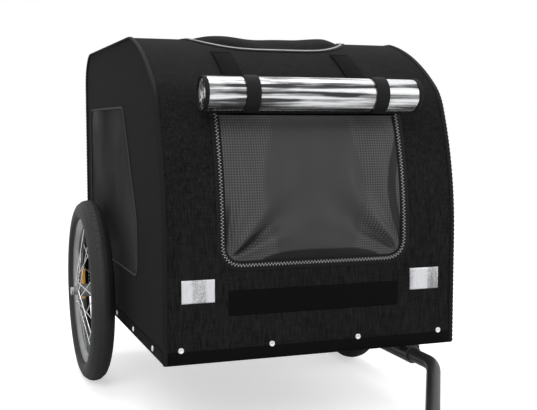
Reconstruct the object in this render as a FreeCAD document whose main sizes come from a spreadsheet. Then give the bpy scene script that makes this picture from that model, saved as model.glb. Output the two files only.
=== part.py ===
"""Two-wheeled dog trailer for a bicycle: a fabric cabin on a steel frame, spoked wheels and a tow bar.

Frame: +Z up, -Y forward (the way it is towed), +X to the trailer's own left. The origin is on the floor,
under the middle of the whole length. All sizes are in millimetres and live in the "dims" sheet.
"""

import FreeCAD
import Part
import math
import os
import Sketcher

V = FreeCAD.Vector
DOC = FreeCAD.newDocument("dog_trailer")
SHEET = DOC.addObject("Spreadsheet::Sheet", "dims")
NODES = []

DIMS = {
    # cabin
    "front_y": -88, "cabin_length": 800, "half_width": 275, "wall": 3, "hem_z": 161, "roof_z": 734,
    "front_bend_z": 360, "bend_radius_low": 650, "bend_radius_mid": 100, "bend_radius_high": 425,
    "bend_radius_crest": 60, "turn_low": 22, "turn_mid": 28, "turn_high": 28, "turn_crest": 12,
    "rear_radius": 75, "seam_z": 642.6,
    # openings in the cover
    "door_half_width": 172, "door_bottom_z": 328, "door_top_z": 588, "door_corner": 25, "gap": 2,
    "hatch_half_width": 165, "hatch_front": 190, "hatch_rear": 560, "hatch_front_corner": 120,
    "hatch_rear_corner": 40, "window_top_z": 603, "window_bottom_z": 280, "window_rear": 745,
    "window_front_top": 345, "window_front_low": 218, "window_low_z": 385, "window_corner": 28,
    "window_thick": 1.5,
    # frame tubes
    "rail": 20, "rail_wall": 1.5, "rail_z": 166, "rail_half_span": 250, "rail_inset": 4,
    "tow_cross_y": 240, "hoop_radius": 9.5, "hoop_wall": 1.5, "hoop_gap": 1, "bar_radius": 8,
    "rear_bar_y": 640, "floor_thick": 8, "floor_half_width": 248, "floor_corner": 12,
    "mat_thick": 25, "mat_half_width": 238, "mat_inset": 26, "mat_corner": 30,
    # rolled covers
    "roll_radius": 30, "roll_half_length": 199, "roll_z": 621, "roll_gap": 20, "roll_x": -8, "strap_shift": -5, "strap_width": 25,
    "strap_thick": 1.7, "strap_x": 120, "strap_tab_z": 690, "rear_roll_half_length": 262,
    "rear_roll_depth": 41, "rear_roll_height": 78, "rear_roll_z": 656,
    # wheels
    "wheel_radius": 200, "track": 626, "axle_y": 477, "tyre_radius": 24.5, "tyre_inner": 21,
    "rim_radius": 160, "rim_half_width": 15, "rim_bed": 154, "rim_inner": 145, "hub_half": 35,
    "hub_barrel": 14, "flange_radius": 23, "flange_thick": 3, "flange_at": 26, "hub_end": 10,
    "pin_radius": 6, "pin_clearance": 0.08, "spoke_radius": 1, "spoke_count": 28, "spoke_hub": 24.4,
    "nut_radius": 9, "nut_long": 6, "axle_hole": 14, "reflector_long": 70, "reflector_tall": 24,
    "reflector_thick": 5, "reflector_at": 98, "bracket_long": 50, "bracket_tall": 36,
    # tow bar
    "tow_x": 200, "tow_z": 140, "tow_radius": 12.5, "tow_wall": 2, "tow_bend": 80,
    "tow_drop": 122, "tow_inboard": 190, "socket_outer": 16.5, "socket_clearance": 0.4,
    "socket_start": 6, "socket_end": 266, "tow_lead": 70, "tow_straight": 330, "tip_y": -757,
    "coupler_radius": 18, "coupler_long": 88, "plate_long": 64, "plate_wide": 40, "plate_thick": 4,
    "plate_hole": 5, "plate_hole_in": 20, "knob_radius": 7, "knob_long": 22,
}


def fill_sheet():
    """One row for each driving dimension: its name, and its plain number under an alias."""
    for row, (name, number) in enumerate(DIMS.items(), start=1):
        SHEET.set(f"A{row}", name)
        SHEET.set(f"B{row}", str(number))
        SHEET.setAlias(f"B{row}", name)
    DOC.recompute()


def dim(name):
    """The number that the sheet holds under this alias."""
    return float(SHEET.get(name))


def bind(thing, **expressions):
    """Binds properties to the sheet. Double underscores stand for dots, as in Placement__Base__x."""
    for path, expression in expressions.items():
        thing.setExpression(path.replace("__", "."), expression)
    return thing


def node(thing, label):
    """Marks a finished object as a named sub-part that is written out."""
    thing.Label = label
    NODES.append(thing)
    return thing


# ---------------------------------------------------------------- small builders


def box(label, size, corner):
    """A Part::Box with three size expressions and three corner expressions."""
    made = DOC.addObject("Part::Box", label)
    bind(made, Length=size[0], Width=size[1], Height=size[2])
    bind(made, Placement__Base__x=corner[0], Placement__Base__y=corner[1], Placement__Base__z=corner[2])
    return made


def cylinder(label, radius, height, centre, direction):
    """A Part::Cylinder whose axis runs from centre along direction."""
    made = DOC.addObject("Part::Cylinder", label)
    made.Placement = FreeCAD.Placement(V(), FreeCAD.Rotation(V(0, 0, 1), V(*direction)))
    bind(made, Radius=radius, Height=height)
    bind(made, Placement__Base__x=centre[0], Placement__Base__y=centre[1], Placement__Base__z=centre[2])
    return made


def join(kind, label, base, tool):
    """A Part::Cut or Part::Common of two objects."""
    made = DOC.addObject(f"Part::{kind}", label)
    made.Base, made.Tool = base, tool
    return made


def fuse(label, shapes):
    """A Part::MultiFuse of several objects."""
    made = DOC.addObject("Part::MultiFuse", label)
    made.Shapes = shapes
    return made


def feature(label, shape):
    """A plain feature, for shapes that only Part's own functions make."""
    made = DOC.addObject("Part::Feature", label)
    made.Shape = shape
    return made


def swept_tube(path, start, direction, outer, inner):
    """A round tube along a path of straight runs and arcs, made run by run so each one stays exact."""
    made = []
    for radius in (outer, inner):
        ring = Part.Wire([Part.makeCircle(radius, start, direction)])
        made.append(path.makePipeShell([ring], True, True))
    return made[0].cut(made[1])


def plane(body, role):
    """One of a body's own origin planes or axes."""
    return next(item for item in body.Origin.OriginFeatures if item.Role == role)


def sketch_on(body, role, name):
    """A sketch attached to one of a body's origin planes."""
    made = body.newObject("Sketcher::SketchObject", name)
    made.AttachmentSupport = [(plane(body, role), "")]
    made.MapMode = "FlatFace"
    return made


def draw_polygon(sketch, points):
    """Closed straight outline through the points."""
    for start, end in zip(points, points[1:] + points[:1]):
        sketch.addGeometry(Part.LineSegment(V(*start, 0), V(*end, 0)), False)


def revolved(label, outline):
    """A body whose outline, drawn as (radius, along), is turned about the vertical axis of its sketch."""
    body = DOC.addObject("PartDesign::Body", label)
    sketch = sketch_on(body, "XZ_Plane", label + "_section")
    outline(sketch)
    turned = body.newObject("PartDesign::Revolution", label + "_turned")
    turned.Profile = sketch
    turned.ReferenceAxis = (sketch, ["V_Axis"])
    turned.Angle = 360
    return body


def padded(label, role, outline, length):
    """A body whose outline on an origin plane is padded evenly to both sides."""
    body = DOC.addObject("PartDesign::Body", label)
    sketch = sketch_on(body, role, label + "_outline")
    outline(sketch)
    pad = body.newObject("PartDesign::Pad", label + "_pad")
    pad.Profile = sketch
    pad.SideType = "Symmetric"
    bind(pad, Length=length)
    return body


# ---------------------------------------------------------------- the cabin's side profile


def profile(inset, bottom_z):
    """Edges, in (y, z), of the cabin's side profile, moved inwards by inset, from front foot to rear foot.

    The front wall rises straight, leans back through four tangent arcs to the crest, and the roof then
    runs level to one rear arc and the straight rear wall.
    """
    y, z, turned = dim("front_y") + inset, dim("front_bend_z"), 0.0
    edges = [Part.LineSegment(V(y, bottom_z, 0), V(y, z, 0))]
    for name in ("low", "mid", "high", "crest"):
        radius = dim(f"bend_radius_{name}") - inset
        start, turned = math.radians(turned), turned + dim(f"turn_{name}")
        end = math.radians(turned)
        middle = (start + end) / 2
        centre = V(y + radius * math.cos(start), z - radius * math.sin(start), 0)
        points = [
            centre + V(-radius * math.cos(a), radius * math.sin(a), 0) for a in (start, middle, end)
        ]
        edges.append(Part.Arc(*points))
        y, z = points[2].x, points[2].y
    rear_y = dim("front_y") + dim("cabin_length") - inset
    radius = dim("rear_radius") - inset
    bend_y, bend_z = rear_y - radius, z - radius
    edges.append(Part.LineSegment(V(y, z, 0), V(bend_y, z, 0)))
    slant = radius * math.sqrt(0.5)
    edges.append(
        Part.Arc(V(bend_y, z, 0), V(bend_y + slant, bend_z + slant, 0), V(rear_y, bend_z, 0))
    )
    edges.append(Part.LineSegment(V(rear_y, bend_z, 0), V(rear_y, bottom_z, 0)))
    return edges


def ends(edge):
    """The first and last point of a line or arc as drawn."""
    return edge.value(edge.FirstParameter), edge.value(edge.LastParameter)


def profile_edges(inset, bottom_z, first=0, last=None):
    """The profile's edges as shapes, standing in the plane x = 0."""
    turn = FreeCAD.Placement(V(), FreeCAD.Rotation(V(1, 1, 1), 120))
    shapes = [edge.toShape() for edge in profile(inset, bottom_z)[first:last]]
    for shape in shapes:
        shape.Placement = turn
    return shapes


def skin(label, outer, inner, width):
    """The cover's wall: the band between two insets of the profile, padded to the width."""

    def outline(sketch):
        bottom = dim("hem_z")
        outside, inside = profile(outer, bottom), profile(inner, bottom)
        for edge in outside + inside:
            sketch.addGeometry(edge, False)
        for near, far in ((outside[0].StartPoint, inside[0].StartPoint),
                          (outside[-1].EndPoint, inside[-1].EndPoint)):
            sketch.addGeometry(Part.LineSegment(near, far), False)

    return padded(label, "YZ_Plane", outline, width)


# ---------------------------------------------------------------- cover panels


def rounded_tool(label, role, corners, radii, length):
    """A prism through an origin plane, with four corners of their own radius, to cut an opening with."""

    def outline(sketch):
        (low_x, low_y), (high_x, high_y) = corners
        around = [(low_x, low_y), (high_x, low_y), (high_x, high_y), (low_x, high_y)]
        draw_rounded(sketch, around, radii)

    return padded(label, role, outline, length)


def draw_rounded(sketch, points, radii):
    """Closed outline through the points, each corner rounded to its radius."""
    stops = []
    count = len(points)
    for i, (point, radius) in enumerate(zip(points, radii)):
        here = V(*point, 0)
        back = (V(*points[i - 1], 0) - here).normalize()
        ahead = (V(*points[(i + 1) % count], 0) - here).normalize()
        half = back.getAngle(ahead) / 2
        reach = radius / math.tan(half)
        centre = here + (back + ahead).normalize() * (radius / math.sin(half))
        middle = centre + (here - centre).normalize() * radius
        stops.append((here + back * reach, middle, here + ahead * reach))
    for i, (start, middle, end) in enumerate(stops):
        sketch.addGeometry(Part.Arc(start, middle, end), False)
        following = stops[(i + 1) % count][0]
        if end.distanceToPoint(following) > 1e-6:
            sketch.addGeometry(Part.LineSegment(end, following), False)


def door_tool(label, shrink):
    """The outline of an end door, made smaller all round by shrink."""
    half, corner = dim("door_half_width") - shrink, dim("door_corner") - shrink
    low, high = dim("door_bottom_z") + shrink, dim("door_top_z") - shrink
    return rounded_tool(label, "XZ_Plane", ((-half, low), (half, high)), (corner, corner, 2, 2), "3000")


def hatch_tool(label, shrink):
    """The outline of the roof hatch, made smaller all round by shrink."""
    half, front = dim("hatch_half_width") - shrink, dim("front_y") + dim("hatch_front") + shrink
    rear = dim("front_y") + dim("hatch_rear") - shrink
    wide, tight = dim("hatch_front_corner") - shrink, dim("hatch_rear_corner") - shrink
    corners = ((-half, front), (half, rear))
    return rounded_tool(label, "XY_Plane", corners, (wide, wide, tight, tight), "3000")


def zone(label, y_from, y_to, z_from, z_to):
    """A block that picks out one stretch of the cover, wider than the cabin."""
    return box(label, ("2 * dims.half_width", f"{y_to} - ({y_from})", f"{z_to} - ({z_from})"),
               ("-dims.half_width", y_from, z_from))


FRONT, REAR = "dims.front_y - 100", "dims.front_y + dims.cabin_length + 100"
MIDDLE = "dims.front_y + dims.cabin_length / 2"
REAR_SEAM_Y = "dims.front_y + dims.cabin_length - dims.rear_radius"


def cover_panels():
    """Front, roof and rear panels of the cover, with their door and hatch flaps."""
    inner = "2 * (dims.half_width - dims.wall)"
    wall, gap = dim("wall"), dim("gap")
    stretches = {
        "front": (FRONT, MIDDLE, "0", "dims.seam_z"),
        "roof": (FRONT, REAR_SEAM_Y, "dims.seam_z", "dims.roof_z + 50"),
        "rear": (REAR_SEAM_Y, REAR, "0", "dims.roof_z + 50"),
    }
    for name, limits in stretches.items():
        for piece, shrink in (("panel", 0.0), ("flap", gap)):
            stretch = join("Common", f"{name}_{piece}_stretch", skin(f"{name}_{piece}_skin", 0, wall, inner),
                           zone(f"{name}_{piece}_zone", *limits))
            tool = (hatch_tool if name == "roof" else door_tool)(f"{name}_{piece}_tool", shrink)
            if piece == "panel":
                node(join("Cut", f"{name}_cut", stretch, tool), f"{name}_panel")
            else:
                flap = "roof_hatch" if name == "roof" else f"{name}_door"
                node(join("Common", f"{name}_kept", stretch, tool), flap)


def window_points(grow):
    """Corners of a side window in (y, z), moved outwards by grow: its front edge slants back as it rises."""
    front = dim("front_y")
    low, high = dim("window_bottom_z") - grow, dim("window_top_z") + grow
    return [
        (front + dim("window_front_low") - grow, low),
        (front + dim("window_rear") + grow, low),
        (front + dim("window_rear") + grow, high),
        (front + dim("window_front_top") - grow, high),
        (front + dim("window_front_low") - grow, dim("window_low_z")),
    ]


def side_panels():
    """Both flat sides of the cover, with the window and the axle hole cut, and the window sheets."""
    corner = dim("window_corner")
    radii = (corner, corner, corner, 2 * corner, 2 * corner)
    for side, sign in (("left", 1), ("right", -1)):

        def outline(sketch):
            edges = profile(0, dim("hem_z"))
            for edge in edges:
                sketch.addGeometry(edge, False)
            sketch.addGeometry(Part.LineSegment(edges[-1].EndPoint, edges[0].StartPoint), False)

        def opening(sketch):
            draw_rounded(sketch, window_points(0), radii)
            sketch.addGeometry(
                Part.Circle(V(dim("axle_y"), dim("wheel_radius"), 0), V(0, 0, 1), dim("axle_hole")), False
            )

        body = padded(f"{side}_side", "YZ_Plane", outline, "dims.wall")
        cut_sketch = sketch_on(body, "YZ_Plane", f"{side}_openings")
        opening(cut_sketch)
        pocket = body.newObject("PartDesign::Pocket", f"{side}_pocket")
        pocket.Profile = cut_sketch
        pocket.SideType = "Symmetric"
        bind(pocket, Length="4 * dims.wall")
        bind(body, Placement__Base__x=f"{sign} * (dims.half_width - dims.wall / 2)")
        node(body, f"{side}_side_panel")

        def pane(sketch):
            draw_rounded(sketch, window_points(0), radii)

        sheet = padded(f"{side}_pane", "YZ_Plane", pane, "dims.window_thick")
        bind(sheet, Placement__Base__x=f"{sign} * (dims.half_width - dims.wall / 2)")
        node(sheet, f"{side}_window")


# ---------------------------------------------------------------- rolled covers and their straps


def surface_y(z, inset=0.0):
    """Where the front wall's profile, moved by inset, stands at height z."""
    for edge in profile(inset, dim("hem_z"))[:4]:
        shape = edge.toShape()
        cut = shape.distToShape(Part.LineSegment(V(-2000, z, 0), V(2000, z, 0)).toShape())
        if cut[0] < 1e-6:
            return cut[1][0][0].x
    raise ValueError(f"the front wall doesn't reach z = {z}")


def front_roll_centre():
    """The front roll's centre in (y, z): it hangs clear of the curved wall by the roll gap and its strap."""
    y = surface_y(dim("roll_z"))
    wall = Part.Wire([edge.toShape() for edge in profile(0, dim("hem_z"))[:4]])
    reach = dim("roll_radius") + dim("roll_gap")
    near, far = y - 3 * reach, y
    for _ in range(40):
        middle = (near + far) / 2
        if Part.Vertex(V(middle, dim("roll_z"), 0)).distToShape(wall)[0] > reach:
            near = middle
        else:
            far = middle
    return near, dim("roll_z")


def front_roll():
    """The rain cover rolled up over the front door, and the two straps that hold it."""
    y, z = front_roll_centre()
    roll = DOC.addObject("Part::Cylinder", "front_roll")
    roll.Placement = FreeCAD.Placement(V(0, y, z), FreeCAD.Rotation(V(0, 0, 1), V(1, 0, 0)))
    bind(roll, Radius="dims.roll_radius", Height="2 * dims.roll_half_length",
         Placement__Base__x="dims.roll_x - dims.roll_half_length")
    node(roll, "front_rain_cover_roll")

    thick, width = dim("strap_thick"), dim("strap_width")
    centre = V(-width / 2, y, z)
    outside = Part.makeCylinder(dim("roll_radius") + 0.3 + thick, width, centre, V(1, 0, 0))
    inside = Part.makeCylinder(dim("roll_radius") + 0.3, width, centre, V(1, 0, 0))
    loop = outside.cut(inside)
    near, far = profile_edges(-0.2, 0, 1, 4), profile_edges(-0.2 - thick, 0, 1, 4)
    side_a, side_b = Part.Wire(near), Part.Wire(far)
    closing = [
        Part.makeLine(side_a.OrderedVertexes[i].Point, side_b.OrderedVertexes[i].Point) for i in (0, -1)
    ]
    band = Part.Face(Part.Wire(Part.__sortEdges__(near + far + closing))).extrude(V(width, 0, 0))
    band.translate(V(-width / 2, 0, 0))
    tail_zone = Part.makeBox(width, 400, dim("strap_tab_z") - z, V(-width / 2, dim("front_y"), z))
    # the strap runs from the top of the roll straight back to its stitched tab on the wall
    top, back = z + dim("roll_radius") + 0.3, surface_y(z + dim("roll_radius") + 0.3, -0.6)
    bridge = Part.makeBox(width, back - y, thick, V(-width / 2, y, top))
    strap = loop.fuse([bridge, band.common(tail_zone)]).removeSplitter()
    pair = [strap.translated(V(sign * dim("strap_x") + dim("strap_shift"), 0, 0)) for sign in (-1, 1)]
    node(feature("front_straps", Part.Compound(pair)), "front_roll_straps")


def rear_roll():
    """The fabric cover rolled up over the rear door, flattened against the wall, and its straps."""
    depth, tall = dim("rear_roll_depth"), dim("rear_roll_height")
    y = dim("front_y") + dim("cabin_length") + 0.4 + dim("strap_thick") + depth / 2
    half = dim("rear_roll_half_length")

    def oval(grow, start, length):
        wire = Part.Ellipse(V(0, 0, 0), tall / 2 + grow, depth / 2 + grow).toShape()
        face = Part.Face(Part.Wire([wire]))
        face.Placement = FreeCAD.Placement(V(start, y, dim("rear_roll_z")), FreeCAD.Rotation(V(0, 1, 0), 90))
        return face.extrude(V(length, 0, 0))

    node(feature("rear_roll", oval(0, -half, 2 * half)), "rear_cover_roll")
    thick, width = dim("strap_thick"), dim("strap_width")
    straps = []
    for sign in (-1, 1):
        start = sign * dim("strap_x") - width / 2
        straps.append(oval(0.3 + thick, start, width).cut(oval(0.3, start, width)))
    node(feature("rear_straps", Part.Compound(straps)), "rear_roll_straps")


# ---------------------------------------------------------------- frame, floor


def square_tube(label, axis, start, length, centre_x, centre_y):
    """A square steel tube with open ends. axis is "x" or "y"; start and length are expressions."""
    outside, inside = "dims.rail", "dims.rail - 2 * dims.rail_wall"
    parts = []
    for name, side, low in (("outside", outside, "0"), ("inside", inside, "dims.rail_wall")):
        if axis == "x":
            size, corner = (length, side, side), (start, f"{centre_y} + {low}", f"dims.rail_z + {low}")
        else:
            size, corner = (side, length, side), (f"{centre_x} + {low}", start, f"dims.rail_z + {low}")
        parts.append(box(f"{label}_{name}", size, corner))
    return node(join("Cut", label + "_tube", *parts), label)


def base_frame():
    """Two side rails and four cross tubes under the floor."""
    length = "dims.cabin_length - 2 * dims.rail_inset"
    start = "dims.front_y + dims.rail_inset"
    square_tube("left_base_rail", "y", start, length, "dims.rail_half_span", "0")
    square_tube("right_base_rail", "y", start, length, "-dims.rail_half_span - dims.rail", "0")
    places = {
        "front_cross_tube": start,
        "tow_cross_tube": "dims.front_y + dims.tow_cross_y",
        "axle_cross_tube": "dims.axle_y - dims.rail / 2",
        "rear_cross_tube": "dims.front_y + dims.cabin_length - dims.rail_inset - dims.rail",
    }
    for label, y in places.items():
        square_tube(label, "x", "-dims.rail_half_span", "2 * dims.rail_half_span", "0", y)


def hoops():
    """The two bent side hoops that stand on the rails and carry the cover, and the bars between them."""
    radius, wall = dim("hoop_radius"), dim("hoop_wall")
    inset = dim("wall") + dim("hoop_gap") + radius
    foot = dim("rail_z") + dim("rail")
    path = Part.Wire(profile_edges(inset, foot))
    start = V(0, dim("front_y") + inset, foot)
    tube = swept_tube(path, start, V(0, 0, 1), radius, radius - wall)
    at = dim("rail_half_span") + dim("rail") / 2
    for side, sign in (("left", 1), ("right", -1)):
        node(feature(f"{side}_bent", tube.translated(V(sign * at, 0, 0))), f"{side}_hoop")

    reach = at - radius - 0.3
    bar_inset = dim("wall") + dim("hoop_gap") + dim("bar_radius")
    seam = profile(bar_inset, foot)[2]
    places = {
        "door_header_bar": (seam.EndPoint.x, seam.EndPoint.y),
        "rear_roof_bar": (dim("front_y") + dim("rear_bar_y"), dim("roof_z") - bar_inset),
    }
    for label, (y, z) in places.items():
        bar = DOC.addObject("Part::Cylinder", label + "_rod")
        bar.Placement = FreeCAD.Placement(V(-reach, y, z), FreeCAD.Rotation(V(0, 0, 1), V(1, 0, 0)))
        bind(bar, Radius="dims.bar_radius")
        bar.Height = 2 * reach
        node(bar, label)


def floor():
    """The floor board on the cross tubes, and the padded mat on it."""
    top = "dims.rail_z + dims.rail"

    def slab(label, half, inset, corner, thick, z):
        front = dim("front_y") + inset
        rear = dim("front_y") + dim("cabin_length") - inset

        def outline(sketch):
            around = [(-half, front), (half, front), (half, rear), (-half, rear)]
            draw_rounded(sketch, around, (corner,) * 4)

        body = padded(label, "XY_Plane", outline, thick)
        bind(body, Placement__Base__z=f"{z} + ({thick}) / 2")
        return body

    board = slab("board", dim("floor_half_width"), dim("rail_inset") + 1, dim("floor_corner"),
                 "dims.floor_thick", top)
    node(board, "floor_board")
    mat = slab("mat", dim("mat_half_width"), dim("mat_inset"), dim("mat_corner"),
               "dims.mat_thick", f"{top} + dims.floor_thick + 0.2")
    node(mat, "floor_mat")


def axle_mounts():
    """The blocks on the rails that hold the wheels, and the fixed axle pins with their end nuts."""
    for side, sign in (("left", 1), ("right", -1)):
        low = "dims.rail_half_span" if sign > 0 else "-dims.rail_half_span - dims.rail"
        block = box(f"{side}_block", ("dims.rail", "dims.bracket_long", "dims.bracket_tall"),
                    (low, "dims.axle_y - dims.bracket_long / 2", "dims.rail_z + dims.rail"))
        bore = cylinder(f"{side}_bore", "dims.pin_radius + 0.1", "100",
                        (f"{sign} * 200", "dims.axle_y", "dims.wheel_radius"), (sign, 0, 0))
        node(join("Cut", f"{side}_bored", block, bore), f"{side}_axle_bracket")
        start = f"{sign} * (dims.rail_half_span - 8)"
        length = "dims.track / 2 + dims.hub_half + 1 - dims.rail_half_span + 8"
        pin = cylinder(f"{side}_rod", "dims.pin_radius", length,
                       (start, "dims.axle_y", "dims.wheel_radius"), (sign, 0, 0))
        nut = cylinder(f"{side}_nut", "dims.nut_radius", "dims.nut_long",
                       (f"{sign} * (dims.track / 2 + dims.hub_half + 0.5)", "dims.axle_y",
                        "dims.wheel_radius"), (sign, 0, 0))
        node(fuse(f"{side}_pin_and_nut", [pin, nut]), f"{side}_axle_pin")


# ---------------------------------------------------------------- wheels


def tyre_outline(sketch):
    """The tyre's open carcass: a round tread outside, a round hollow inside, and two bead feet."""
    centre = dim("wheel_radius") - dim("tyre_radius")
    foot, inner_foot, bed = dim("rim_half_width") - 3, dim("rim_half_width") - 5.5, dim("rim_bed")
    flange = dim("rim_radius") + 0.5
    low_out = (centre - 9, math.sqrt(dim("tyre_radius") ** 2 - 81))
    low_in = (centre - 7.5, math.sqrt(dim("tyre_inner") ** 2 - 56.25))
    sketch.addGeometry(Part.Arc(V(low_out[0], -low_out[1], 0), V(dim("wheel_radius"), 0, 0),
                                V(*low_out, 0)), False)
    sketch.addGeometry(Part.Arc(V(low_in[0], -low_in[1], 0), V(centre + dim("tyre_inner"), 0, 0),
                                V(*low_in, 0)), False)
    for sign in (-1, 1):
        stops = [(low_out[0], sign * low_out[1]), (flange, sign * foot), (bed, sign * foot),
                 (bed, sign * inner_foot), (flange, sign * inner_foot), (low_in[0], sign * low_in[1])]
        for start, end in zip(stops, stops[1:]):
            sketch.addGeometry(Part.LineSegment(V(*start, 0), V(*end, 0)), False)


def rim_outline(sketch):
    """The rim's channel: two flanges, the bed that the tyre sits in, and the spoke bed inside."""
    outer, half, bed, inner = dim("rim_radius"), dim("rim_half_width"), dim("rim_bed"), dim("rim_inner")
    lip = half - 2.5
    draw_polygon(sketch, [
        (outer, -half), (outer, -lip), (bed, -lip), (bed, lip), (outer, lip), (outer, half),
        (bed - 4, half - 1.5), (inner, 6), (inner, -6), (bed - 4, 1.5 - half),
    ])


def hub_outline(sketch):
    """The hub: a barrel with two spoke flanges, narrower ends and the bore for the axle pin."""
    bore, end, barrel = dim("pin_radius") + dim("pin_clearance"), dim("hub_end"), dim("hub_barrel")
    flange, near, half = dim("flange_radius"), dim("flange_at"), dim("hub_half")
    far = near + dim("flange_thick")
    right = [(end, half), (end, far), (flange, far), (flange, near), (barrel, near)]
    left = [(radius, -along) for radius, along in reversed(right)]
    draw_polygon(sketch, [(bore, -half), (bore, half)] + right + left)


def spoke_shapes():
    """Spokes in the wheel's own frame, axis along Z: crossed pairs from both flanges to the rim."""
    pairs = int(dim("spoke_count")) // 4
    radius, hub_r, rim_r = dim("spoke_radius"), dim("spoke_hub"), dim("rim_inner") - 0.8
    near, far = dim("flange_at") + 0.3, dim("flange_at") + dim("flange_thick") - 0.3
    lead = math.radians(62)
    made = []
    for i in range(pairs):
        for side in (1, -1):
            for along, twist, rise in ((near, 1, 0.6), (far, -1, 4.4)):
                at = 2 * math.pi * (i + (0.25 if side > 0 else 0.0) + (0.5 if twist > 0 else 0.0)) / pairs
                hub = V(hub_r * math.cos(at - twist * lead), hub_r * math.sin(at - twist * lead), side * along)
                rim = V(rim_r * math.cos(at), rim_r * math.sin(at), side * rise)
                made.append(Part.makeCylinder(radius, hub.distanceToPoint(rim), hub, rim - hub))
    return made


def wheels():
    """Tyre, rim, hub, spokes and spoke reflectors of both wheels."""
    for side, sign in (("left", 1), ("right", -1)):
        spin = FreeCAD.Rotation(V(0, 0, 1), V(sign, 0, 0))
        centre = FreeCAD.Placement(V(sign * dim("track") / 2, dim("axle_y"), dim("wheel_radius")), spin)
        for name, outline in (("tyre", tyre_outline), ("rim", rim_outline), ("hub", hub_outline)):
            body = revolved(f"{side}_{name}_body", outline)
            body.Placement = centre
            bind(body, Placement__Base__x=f"{sign} * dims.track / 2", Placement__Base__y="dims.axle_y",
                 Placement__Base__z="dims.wheel_radius")
            node(body, f"{side}_{name}")
        spokes = feature(f"{side}_spoke_set", Part.Compound(spoke_shapes()))
        spokes.Placement = centre
        node(spokes, f"{side}_spokes")
        plates = []
        for way in (-1, 1):
            at = V(sign * dim("track") / 2 - dim("reflector_thick") / 2,
                   dim("axle_y") + way * dim("reflector_at") - dim("reflector_tall") / 2,
                   dim("wheel_radius") - dim("reflector_long") / 2)
            plates.append(Part.makeBox(dim("reflector_thick"), dim("reflector_tall"),
                                       dim("reflector_long"), at))
        node(feature(f"{side}_reflector_pair", Part.Compound(plates)), f"{side}_spoke_reflectors")


# ---------------------------------------------------------------- tow bar


def tow_direction():
    """Unit vector, across the towing axis, from the socket's axis to the coupler's axis as parked."""
    return V(-dim("tow_inboard"), 0, -dim("tow_drop")).normalize()


def tow_offset():
    """How far the coupler's axis stands from the socket's axis."""
    return math.hypot(dim("tow_inboard"), dim("tow_drop"))


def rounded_path(points, radius):
    """A wire of straight runs through the points, joined by tangent arcs of one radius."""
    edges, at = [], points[0]
    for before, here, after in zip(points, points[1:], points[2:]):
        back, ahead = (before - here).normalize(), (after - here).normalize()
        half = back.getAngle(ahead) / 2
        reach = radius / math.tan(half)
        centre = here + (back + ahead).normalize() * (radius / math.sin(half))
        start, end = here + back * reach, here + ahead * reach
        middle = centre + (here - centre).normalize() * radius
        edges += [Part.makeLine(at, start), Part.Arc(start, middle, end).toShape()]
        at = end
    return Part.Wire(edges + [Part.makeLine(at, points[-1])])


def coupler_start():
    """Where along y the coupler ends and the tube's last run begins."""
    return dim("tip_y") + dim("plate_long") + dim("coupler_long") - 10


def tow_bar():
    """The bent tow tube, the rubber coupler on its end and the plate for the bicycle's axle."""
    axis, front = V(dim("tow_x"), 0, dim("tow_z")), dim("front_y")
    away = tow_direction() * tow_offset()
    lead = front - dim("tow_lead")
    stops = [
        axis + V(0, front + dim("socket_end") - 4, 0),
        axis + V(0, lead, 0),
        axis + V(0, lead - dim("tow_straight"), 0) + away,
        axis + V(0, coupler_start(), 0) + away,
    ]
    path = rounded_path(stops, dim("tow_bend"))
    tube = swept_tube(path, stops[0], V(0, 1, 0), dim("tow_radius"), dim("tow_radius") - dim("tow_wall"))
    node(feature("tow_pipe", tube), "tow_tube")

    end = axis + away
    block = Part.makeCylinder(dim("coupler_radius"), dim("coupler_long"),
                              V(end.x, coupler_start() - dim("coupler_long"), end.z), V(0, 1, 0))
    block = block.makeFillet(4, block.Edges[:1] + block.Edges[2:3])
    node(feature("coupler_rubber", block), "coupler")

    half, thick = dim("plate_wide") / 2, dim("plate_thick")
    rear_y = coupler_start() - dim("coupler_long")
    slab = Part.makeBox(2 * half, rear_y - dim("tip_y") - half, thick,
                        V(end.x - half, dim("tip_y") + half, end.z - thick / 2))
    nose = Part.makeCylinder(half, thick, V(end.x, dim("tip_y") + half, end.z - thick / 2), V(0, 0, 1))
    hole = Part.makeCylinder(dim("plate_hole"), 3 * thick,
                             V(end.x, dim("tip_y") + dim("plate_hole_in"), end.z - 1.5 * thick), V(0, 0, 1))
    plate = slab.fuse(nose).removeSplitter().cut(hole)
    node(feature("plate_steel", plate), "hitch_plate")


def tow_socket():
    """The sleeve under the floor that the tow tube turns in, hung from two cross tubes, and its lock knob."""
    start, end = "dims.front_y + dims.socket_start", "dims.front_y + dims.socket_end"
    length = "dims.socket_end - dims.socket_start"
    place = ("dims.tow_x", start, "dims.tow_z")
    sleeve = cylinder("sleeve", "dims.socket_outer", length, place, (0, 1, 0))
    hangers = []
    for name, y in (("front", "dims.front_y + dims.rail_inset + 2"), ("rear", "dims.front_y + dims.tow_cross_y")):
        hangers.append(box(f"{name}_hanger", ("dims.rail", "dims.rail - 2", "dims.rail_z - dims.tow_z"),
                           ("dims.tow_x - dims.rail / 2", y, "dims.tow_z")))
    whole = fuse("sleeve_and_hangers", [sleeve] + hangers)
    bore = cylinder("sleeve_bore", "dims.tow_radius + dims.socket_clearance", f"({length}) + 40",
                    ("dims.tow_x", f"{start} - 20", "dims.tow_z"), (0, 1, 0))
    node(join("Cut", "sleeve_bored", whole, bore), "tow_socket")
    knob = cylinder("knob_body", "dims.knob_radius", "dims.knob_long",
                    ("dims.tow_x + dims.socket_outer + 0.2", "dims.front_y + 60", "dims.tow_z"), (1, 0, 0))
    node(knob, "tow_lock_knob")


# ---------------------------------------------------------------- build and write


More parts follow.
